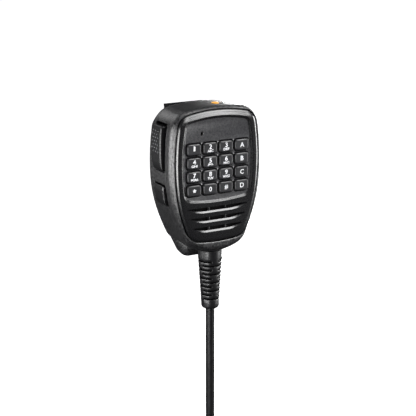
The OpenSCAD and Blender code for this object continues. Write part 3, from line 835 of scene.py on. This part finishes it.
def panel():
    """The insert: bevelled frame, recessed key field, key holes, sound slots, microphone hole."""
    rings = [
        PANEL.ring(0, 2.2),
        PANEL.ring(0, band_depth(0.7, 1.1)),
        PANEL.ring(0.12, band_depth(0.5, 0.92)),
        PANEL.ring(0.95, band_depth(-0.2, 0.62)),
        PANEL.ring(1.15, band_depth(-0.31, 0.55)),
    ]
    for share in (0.0, 0.35, 0.7, 1.0):
        points = []
        for h in HEADINGS:
            ax, ad = PANEL.at(h, 1.4)
            bx, bd = RECESS.at(h, -0.5)
            depth = blend_value(FACE_DEPTH, blend_value(0.5, -0.25, share), top_share(h))
            points.append(place(blend_value(ax, bx, share), depth, blend_value(ad, bd, share)))
        rings.append(points)
    rings.append(RECESS.ring(-0.3, band_depth(FACE_DEPTH + 0.03, -0.24)))
    rings.append(RECESS.ring(-0.1, band_depth(FACE_DEPTH + 0.1, -0.17)))
    rings.append(RECESS.ring(0.1, band_depth(FACE_DEPTH + 0.22, -0.05)))
    rings.append(RECESS.ring(0.9, RECESS_FLOOR - 0.06))
    rings.append(RECESS.ring(1.05, RECESS_FLOOR))
    piece = add_piece("keypad_panel", loft(rings), "panel_plastic", replaces="front_panel")
    piece.data.materials.append(MATERIALS["panel_floor"])
    field = place(0, RECESS_FLOOR, 0).y
    for face in piece.data.polygons:
        if len(face.vertices) > 4 and abs(face.center.y - field) < 1e-5:
            face.material_index = 1

    wide, narrow = (HOLE_W + 0.8, HOLE_H + 0.8, 1.9), (HOLE_W, HOLE_H, 1.6)
    layers = ((*wide, -1.5), (*wide, RECESS_FLOOR - 0.02), (*narrow, RECESS_FLOOR + 0.4), (*narrow, 4))
    holes = [loft(front_rings(*key_place(c, r), layers)) for c in range(4) for r in range(4)]
    wide, narrow = (0.6, 0.45), (-0.35, 0.0)
    layers = ((*wide, FACE_DEPTH - 1.5), (*wide, FACE_DEPTH - 0.02), (*narrow, 0.45), (*narrow, 4))
    slots = [
        loft([[place(x, depth, drop - z) for x, z in slot_outline(half_w, grow_low, grow_end)]
              for grow_low, grow_end, depth in layers])
        for drop, half_w in SLOTS]
    wide, narrow = (1.9, 2.7, 0.94), (1.3, 2.1, 0.64)
    layers = ((*wide, -1), (*wide, RECESS_FLOOR - 0.02), (*narrow, RECESS_FLOOR + 0.2), (*narrow, 4))
    mic = loft(front_rings(MIC_X, MIC_DROP, layers, 6))
    combine(piece, [joined(holes), joined(slots), mic])
    smooth(piece, 28)


def slot_ribs():
    """Thin posts inside the sound slots."""
    posts = [box_shape(x - 0.4, x + 0.4, 0.75, 2.1, drop - 0.3, drop + SLOT_H + 0.2)
             for drop, _ in SLOTS for x in (-5.5, 5.5)]
    piece = add_piece("slot_posts", joined(posts), "panel_plastic")
    soften(piece, 0.15)


def panel_pips():
    """Small round pips in the gaps between the key columns, beside the top of each row, coloured light grey
    as a painted highlight for the glints there.
    """
    radius = 0.42
    bows = [math.radians(a) for a in (0, 20, 40, 60, 80)]
    layers = [(radius * math.cos(a), RECESS_FLOOR + 0.02 - radius * math.sin(a)) for a in bows]
    pips = []
    for c in range(3):
        for r in range(4):
            drop = ROW_DROP + r * PITCH_Z - KEY_H / 2 - 0.05
            pips.append(loft(circle_rings((c - 1) * PITCH_X, drop, layers, 12)))
    piece = add_piece("panel_pips", joined(pips), "pip_grey")
    smooth(piece, 60)


panel()
slot_ribs()
panel_pips()


# ---------------------------------------------------------------- keys and their legends

KEY_FACE = -0.75
KEY_ROUND = 0.62


def key_cap(name, x, drop):
    """One key: a cap with rounded edges and a slightly dished face, on its flange."""
    layers = [
        (KEY_W + 1.2, KEY_H + 1.2, 1.0, 3.2),
        (KEY_W + 1.2, KEY_H + 1.2, 1.0, 2.45),
        (KEY_W, KEY_H, 1.25, 2.4),
        (KEY_W, KEY_H, 1.25, KEY_FACE + 0.75),
    ]
    for k in range(1, 6):
        a = math.radians(90 * k / 5)
        inset = KEY_ROUND * (1 - math.cos(a))
        depth = KEY_FACE + KEY_ROUND * (1 - math.sin(a)) + 0.02
        layers.append((KEY_W - 2 * inset, KEY_H - 2 * inset, 1.25 - 0.5 * inset, depth))
    layers.append((KEY_W - 2.4, KEY_H - 2.4, 0.8, KEY_FACE + 0.03))
    layers.append((KEY_W - 4.6, KEY_H - 4.0, 0.5, KEY_FACE + 0.07))
    piece = add_piece(name + "_cap", loft(front_rings(x, drop, layers, 4)), "key_rubber", name, replaces=name)
    smooth(piece, 50)


def lettering(text, bold):
    """Flat lettering centred on 0, in millimetres: its points, faces, width and height."""
    font = bpy.data.curves.new("letters", "FONT")
    font.body = text
    font.size = 3
    font.align_x = "CENTER"
    font.offset = bold
    font.extrude = 0.012
    font.resolution_u = 4
    carrier = new_object("letters", font)
    bpy.context.view_layer.update()
    mesh = bpy.data.meshes.new_from_object(carrier.evaluated_get(bpy.context.evaluated_depsgraph_get()))
    bpy.data.objects.remove(carrier)
    points = [v.co.copy() for v in mesh.vertices]
    low_x, high_x = min(p.x for p in points), max(p.x for p in points)
    low_y, high_y = min(p.y for p in points), max(p.y for p in points)
    middle = Vector(((low_x + high_x) / 2, (low_y + high_y) / 2, 0))
    faces = [tuple(f.vertices) for f in mesh.polygons]
    return [p - middle for p in points], faces, high_x - low_x, high_y - low_y


def letter_shape(text, x, drop, height, bold, width=None):
    """Lettering of a given height on a key's face, stretched to a width if one is given."""
    points, faces, own_w, own_h = lettering(text, bold)
    sy = height / own_h
    sx = width / own_w if width else sy
    return [place(x + p.x * sx, KEY_FACE + 0.02 - p.z, drop - p.y * sy) for p in points], faces


def star_shape(x, drop, radius):
    """A five-armed star for the star key."""
    arms = []
    for k in range(5):
        a = math.radians(90 + 72 * k)
        along, side = Vector((math.cos(a), math.sin(a))), Vector((-math.sin(a), math.cos(a)))
        corners = [side * -0.24, along * radius - side * 0.3, along * radius + side * 0.3, side * 0.24]
        arms.append(loft([[place(x + p.x, depth, drop - p.y) for p in corners]
                          for depth in (KEY_FACE + 0.03, KEY_FACE + 0.005 - 0.0005 * k)]))
    return joined(arms)


KEYS = ("1", "2", "3", "a", "4", "5", "6", "b", "7", "8", "9", "c", "star", "0", "hash", "d")
LETTERS = {"2": "ABC", "3": "DEF", "4": "GHI", "5": "JKL", "6": "MNO", "7": "PQRS", "8": "TUV", "9": "WXYZ"}
for index, key in enumerate(KEYS):
    name, letters = "key_" + key, LETTERS.get(key)
    x, drop = key_place(index % 4, index // 4)
    key_cap(name, x, drop)
    if key == "star":
        shapes = [star_shape(x, drop, 1.05)]
    elif letters:
        shapes = [letter_shape(key, x, drop - 0.95, 2.75, 0.035),
                  letter_shape(letters, x, drop + 1.55, 1.45, 0.06, 4.6 if len(letters) > 3 else 3.8)]
    elif key == "1":
        shapes = [letter_shape(key, x, drop - 0.7, 2.9, -0.02, 1.05)]
    else:
        shapes = [letter_shape("#" if key == "hash" else key.upper(), x, drop, 2.7, 0.02)]
    add_piece(name + "_legend", joined(shapes), "legend_white", name)


# ---------------------------------------------------------------- side and top buttons

BUTTON_D0, BUTTON_D1 = 10, 22
BUTTON_IN = -27.2
TALK_PROUD = 1.8


def left_side(drop, proud):
    """X of a side button's face at a drop: the housing's own bulge, standing out by proud."""
    reach = 600 if drop < 27 else 420
    return -30.8 - proud + (drop - 27) ** 2 / reach


def side_pad(name, body, node, drop0, drop1, proud, extra=()):
    """A side button: a curved pad with rounded edges and a raised front edge."""
    steps = 14
    rings = []
    lift = 0.3
    for k in range(steps + 1):
        drop = blend_value(drop0, drop1, k / steps)
        end = min(1.0, 0.6 + 2.2 * min(k, steps - k) / steps)
        face = left_side(drop, proud * end)
        rings.append([
            place(BUTTON_IN, BUTTON_D0, drop), place(face + 0.75, BUTTON_D0, drop),
            place(face + lift * 0.2, BUTTON_D0 + 0.75, drop), place(face + lift, BUTTON_D0 + 2.2, drop),
            place(face + lift * 0.7, BUTTON_D1 - 2.2, drop), place(face + 0.6, BUTTON_D1, drop),
            place(BUTTON_IN, BUTTON_D1, drop),
        ])
    piece = add_piece(name, joined([loft(rings), *extra]), "button_rubber", body, replaces=node)
    soften(piece, 0.28, 3, 25, 32)


def nub_field():
    """Staggered rows of small grip nubs on the upper half of the talk button."""
    radius, height = 0.62, 0.42
    nubs = []
    for row in range(7):
        drop = 13.6 + row * 2.05
        for column in range(3):
            depth = BUTTON_D0 + 3.0 + column * 2.9 + (1.45 if row % 2 else 0)
            if depth > BUTTON_D1 - 1.6:
                continue
            face = left_side(drop, TALK_PROUD) + 0.26
            rings = []
            for a in (0, 25, 50, 70, 85):
                top = face - height * math.sin(math.radians(a))
                ring = circle(radius * math.cos(math.radians(a)), 12)
                rings.append([place(top, depth + pd, drop + pz) for pd, pz in ring])
            nubs.append(loft(rings))
    piece = add_piece("talk_button_nubs", joined(nubs), "nub_rubber", "talk_button")
    smooth(piece, 70)


middle_d = (BUTTON_D0 + BUTTON_D1) / 2
nib_d0, nib_d1 = BUTTON_D0 - 1.1, BUTTON_D1 + 1.1
NIB_X, NIB_DROP = -27.6, 36
nib_rod = loft([[place(NIB_X + px, d, NIB_DROP + pz) for px, pz in circle(0.45, 16)]
                for d in (nib_d0, nib_d1)])
side_pad("talk_button_pad", "talk_button", "ptt_button", TALK_TOP, TALK_BOTTOM, TALK_PROUD, [
    box_shape(BUTTON_IN - 0.1, BUTTON_IN + 0.8, nib_d0, nib_d1, TALK_TOP + 7.5, TALK_TOP + 15),
    box_shape(BUTTON_IN - 0.1, BUTTON_IN + 0.9, middle_d - 2, middle_d + 2, TALK_TOP + 6, TALK_TOP + 10),
    nib_rod])
nub_field()
side_pad("lower_button_pad", "lower_button", "side_button", LOWER_TOP, LOWER_BOTTOM, 1.4, [
    box_shape(BUTTON_IN - 0.1, BUTTON_IN + 1, middle_d - 3, middle_d + 3,
              LOWER_TOP + 1.8, LOWER_BOTTOM - 1.8)])


def turned_piece(name, node, body, material, layers, count, degrees):
    """A turned piece on the upright axis of the CAD node that it replaces."""
    x, depth, _ = centre_of(node)
    piece = add_piece(name, loft(turned(x, depth, layers, count)), material, body, replaces=node)
    smooth(piece, degrees)


def top_controls():
    """The orange button with its domed top, and the clear indicator lens."""
    cap = ((2.8, 3.4), (2.8, 2.7), (2.2, 2.6), (2.2, 0.1), (2.12, -0.05), (1.9, -0.14), (1.4, -0.19),
           (0.7, -0.21))
    lens = ((1.2, 3.5), (1.2, 2.9), (0.97, 2.8), (0.97, 0.3), (0.85, 0.1), (0.6, -0.04), (0.3, -0.1))
    turned_piece("orange_cap", "top_button", "orange_button", "orange_plastic", cap, 40, 45)
    turned_piece("lamp_window", "lamp_lens", "housing", "lens_clear", lens, 24, 50)


top_controls()


# ---------------------------------------------------------------- belt clip

# The frame's origin is on the middle of the clip's pin.
PIN_DEPTH = -FRONT / MM
PIN_DROP = TOP / MM
PIN_RADIUS = 1.25
EAR_RADIUS = 2.5
LEVER_T = 1.7
LEVER_HALF_W = 12.5
# The lever's outer face from its upper end to its toe, as (y, z) from the pin.
LEVER_LINE = ((6.9, 16.5), (5.9, 12), (4.6, 6), (4.35, 3), (4.35, -34), (4.1, -37.5), (3.2, -40.4),
              (1.4, -43), (-2.2, -44.8))


def crosswise(points, stations):
    """A bar along x through the stations, with a section of (y, z) points about the pin."""
    return loft([[Vector((x * MM, y * MM, z * MM)) for y, z in points] for x in stations])


def ears(x, half_t, d0, d1):
    """Round ears on the pin at -x and x, each with a block that joins it to its plate."""
    shapes = []
    for middle in (-x, x):
        x0, x1 = middle - half_t, middle + half_t
        shapes.append(crosswise(circle(EAR_RADIUS, 28), (x0, x1)))
        shapes.append(box_shape(x0, x1, d0, d1, PIN_DROP - EAR_RADIUS, PIN_DROP + EAR_RADIUS))
    return shapes


def clip_lever():
    """The clip's lever: a bent plate with rounded edges, ears, and a curled toe."""
    outer = [Vector(p) for p in LEVER_LINE]
    inner = []
    for i, p in enumerate(outer):
        run = outer[min(i + 1, len(outer) - 1)] - outer[max(i - 1, 0)]
        run.normalize()
        inner.append(Vector((p.x + LEVER_T * run.y, p.y - LEVER_T * run.x)))
    stations = [blend_value(-LEVER_HALF_W, LEVER_HALF_W, k / 4) for k in range(5)]
    plate = crosswise(outer + inner[::-1], stations)
    piece = add_piece("clip_plate", plate, "clip_plastic", "clip", replaces="clip_lever")
    combine(piece, ears(7.9, 0.9, PIN_DEPTH, PIN_DEPTH + 3.2), "UNION")
    combine(piece, [crosswise(circle(PIN_RADIUS + 0.07, 24), (-10, 10))])
    soften(piece, 0.5, 3)


def clip_grip():
    """Ribs for the thumb on the lever's upper end."""
    (y0, z0), (y1, z1) = LEVER_LINE[:2]
    ribs = []
    for k in range(4):
        t = k / 4 + 0.12
        depth, drop = PIN_DEPTH + blend_value(y0, y1, t), PIN_DROP - blend_value(z0, z1, t)
        ribs.append(box_shape(-9, 9, depth - 0.6, depth + 0.22, drop - 0.25, drop + 0.25))
    piece = add_piece("clip_grip", joined(ribs), "clip_plastic", "clip")
    soften(piece, 0.12)


def clip_bracket():
    """The bracket that carries the hinge pin on the housing's back."""
    plate = loft(front_rings(0, 32, ((24, 36, 2, 33), (24, 36, 2, 34.6)), 6))
    piece = add_piece("clip_mount", plate, "clip_plastic", replaces="clip_bracket")
    combine(piece, ears(10.6, 1, 34.2, PIN_DEPTH), "UNION")
    cuts = [crosswise(circle(PIN_RADIUS, 24), (-13, 13))]
    for drop in (27, 44):
        cuts.append(loft(circle_rings(0, drop, ((1.3, 32), (1.3, 33.7), (2.2, 33.7), (2.2, 36)), 24)))
    combine(piece, cuts)
    soften(piece, 0.22, 2, 50)


def clip_spring():
    """The torsion spring: a coil round the pin, with a leg on the bracket and one on the lever."""
    radius, turns, pitch, start_x = 2.0, 6.5, 1.0, -3.3
    route = [(start_x, -3.1, 4.5), (start_x, -2.6, 2.0)]
    steps = int(turns * 20)
    for k in range(steps + 1):
        a = math.radians(230) - 2 * math.pi * turns * k / steps
        route.append((start_x + pitch * turns * k / steps, radius * math.cos(a), radius * math.sin(a)))
    x, y, z = route[-1]
    route.append((x, y + 0.3, z - 2.6))
    coil = add_wire("clip_coil", [Vector(p) * MM for p in route], 0.76, 3, "pin_steel")
    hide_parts("clip_spring")


clip_lever()
clip_grip()
clip_bracket()
clip_spring()


# ---------------------------------------------------------------- strain relief

RELIEF_TOP = 81
RELIEF_BORE = CORD_WIDTH / 2 + 0.15
RELIEF_NECK, RELIEF_WIDE, RELIEF_NARROW = 6.1, 7.3, 5.4
TAPER_TOP, TAPER_END = 92, RELIEF_END - 3
RELIEF_LEVELS = 10
RELIEF_FIRST = 94.2
RELIEF_PITCH = 2.63
RELIEF_COLUMNS = 96
SLOT_CUT = 1.3
RELIEF_SLOT = ((-0.62, 0.0), (-0.54, 0.05), (-0.5, 0.3), (-0.48, SLOT_CUT),
               (0.48, SLOT_CUT), (0.5, 0.3), (0.54, 0.05), (0.62, 0.0))


def relief_radius(drop):
    """Radius of the strain relief's outside at a drop."""
    t = min(1.0, max(0.0, (drop - TAPER_TOP) / (TAPER_END - TAPER_TOP)))
    return blend_value(RELIEF_WIDE, RELIEF_NARROW, t)


def relief_ring(radius, drop, cut=0.0, even=True):
    """A ring of the strain relief, cut inwards except at two bridges.

    The bridges of an even level are at its front and back, and those of an odd one at its sides.
    """
    points = []
    for i in range(RELIEF_COLUMNS):
        a = 2 * math.pi * i / RELIEF_COLUMNS
        turn = a + (math.pi / 2 if even else 0)
        off = abs((turn + math.pi / 2) % math.pi - math.pi / 2)
        inside = ease((off - math.radians(15)) / math.radians(9))
        r = radius - cut * inside
        points.append(place(r * math.cos(a), CORD_DEPTH + r * math.sin(a), drop))
    return points


def strain_relief():
    """The tapered sleeve with its staggered levels of slots, whose insides are painted near-black as painted
    shade.
    """
    head = ((RELIEF_BORE, TAPER_END), (RELIEF_BORE, RELIEF_TOP),
            (RELIEF_NECK, RELIEF_TOP), (RELIEF_NECK, 82.9), (7.55, 83),
            (7.55, 85), (RELIEF_NECK, 85.1), (RELIEF_NECK, 87.45), (7.1, 87.5),
            (RELIEF_WIDE, 87.7), (RELIEF_WIDE, 90), (RELIEF_WIDE, TAPER_TOP))
    tip = ((5.42, 121.4), (RELIEF_NARROW, 122.6), (5.25, 123.4), (4.8, 124.1), (4.1, 124.5),
           (3.4, RELIEF_END), (RELIEF_BORE + 0.05, RELIEF_END))
    rings = [relief_ring(r, drop) for r, drop in head]
    for level in range(RELIEF_LEVELS):
        for off, cut in RELIEF_SLOT:
            drop = RELIEF_FIRST + level * RELIEF_PITCH + off
            rings.append(relief_ring(relief_radius(drop), drop, cut, level % 2 == 0))
    rings.extend(relief_ring(r, drop) for r, drop in tip)
    piece = add_piece("relief_sleeve", loft(rings, close=True), "relief_rubber", replaces="strain_relief")
    # The slots' inner faces take slot_shade, a painted shade for the same rubber where it lies in shadow.
    piece.data.materials.append(MATERIALS["slot_shade"])
    axis = place(0, CORD_DEPTH, 0)
    for face in piece.data.polygons:
        drop = (TOP - face.center.z) / MM
        reach = math.hypot(face.center.x - axis.x, face.center.y - axis.y) / MM
        sunk = relief_radius(drop) - reach
        if TAPER_TOP + 1 < drop < TAPER_END - 0.4 and 0.25 < sunk < SLOT_CUT + 0.15:
            face.material_index = 1
    smooth(piece, 42)


strain_relief()


# ---------------------------------------------------------------- light and floor

# Name, direction, distance, size and radiance.
LIGHTS = (
    ("upper_right_box", (0.46, -0.34, 0.80), 0.9, (0.55, 0.34), 18),
    ("front_upper_box", (0.46, -0.76, 0.46), 0.8, (0.3, 0.2), 22),
    ("top_box", (-0.10, -0.12, 0.98), 0.8, (0.34, 0.34), 3.5),
    ("left_strip", (-0.80, -0.55, -0.18), 0.6, (0.14, 0.24), 34),
    ("left_box", (-0.98, 0.10, -0.06), 0.45, (0.34, 0.24), 11),
    ("back_left_box", (-0.55, 0.85, -0.12), 0.5, (0.3, 0.24), 0.3),
    ("back_left_upper_box", (-0.25, 0.85, 0.45), 0.6, (0.22, 0.16), 4),
    ("right_strip", (0.84, -0.48, -0.16), 0.5, (0.12, 0.26), 16),
    ("right_box", (0.95, 0.14, -0.04), 0.45, (0.26, 0.24), 16),
    ("back_right_box", (0.68, 0.68, -0.12), 0.45, (0.24, 0.3), 22),
    ("upper_back_box", (-0.2, 0.6, 0.9), 1.2, (0.6, 0.5), 1),
)


def area_light(name, direction, distance, size, radiance):
    """A soft rectangular light that faces the housing from a direction, at a given radiance."""
    aim = place(0, 15, 30)
    data = bpy.data.lights.new(name, "AREA")
    data.shape = "RECTANGLE"
    data.size, data.size_y = size
    data.energy = radiance * math.pi * size[0] * size[1]
    lamp = new_object(name, data)
    lamp.location = aim + Vector(direction).normalized() * distance
    lamp.rotation_euler = (aim - lamp.location).to_track_quat("-Z", "Y").to_euler()
    lamp.visible_camera = False


def studio():
    """A white floor just below the hanging cord, and soft lights all round."""
    low = cad_box[0].z - 0.02
    floor_mesh = mesh_from("floor", [(-9, -9, low), (9, -9, low), (9, 9, low), (-9, 9, low)], [(0, 1, 2, 3)])
    floor = new_object("floor", floor_mesh)
    paint = bpy.data.materials.new("floor_white")
    paint.use_nodes = True
    set_inputs(paint.node_tree.nodes["Principled BSDF"], {
        "Base Color": (0.95, 0.95, 0.95, 1),
        "Roughness": 0.9,
        "Emission Color": (1, 1, 1, 1),
        "Emission Strength": 1.0,
    })
    floor_mesh.materials.append(paint)
    floor.visible_diffuse = False
    floor.visible_glossy = False
    floor.visible_shadow = False

    world = bpy.data.worlds.new("studio")
    world.use_nodes = True
    set_inputs(world.node_tree.nodes["Background"], {"Color": (1, 1, 1, 1), "Strength": 0.035})
    bpy.context.scene.world = world

    for light in LIGHTS:
        area_light(*light)
    bpy.context.scene.view_settings.view_transform = "Standard"


studio()
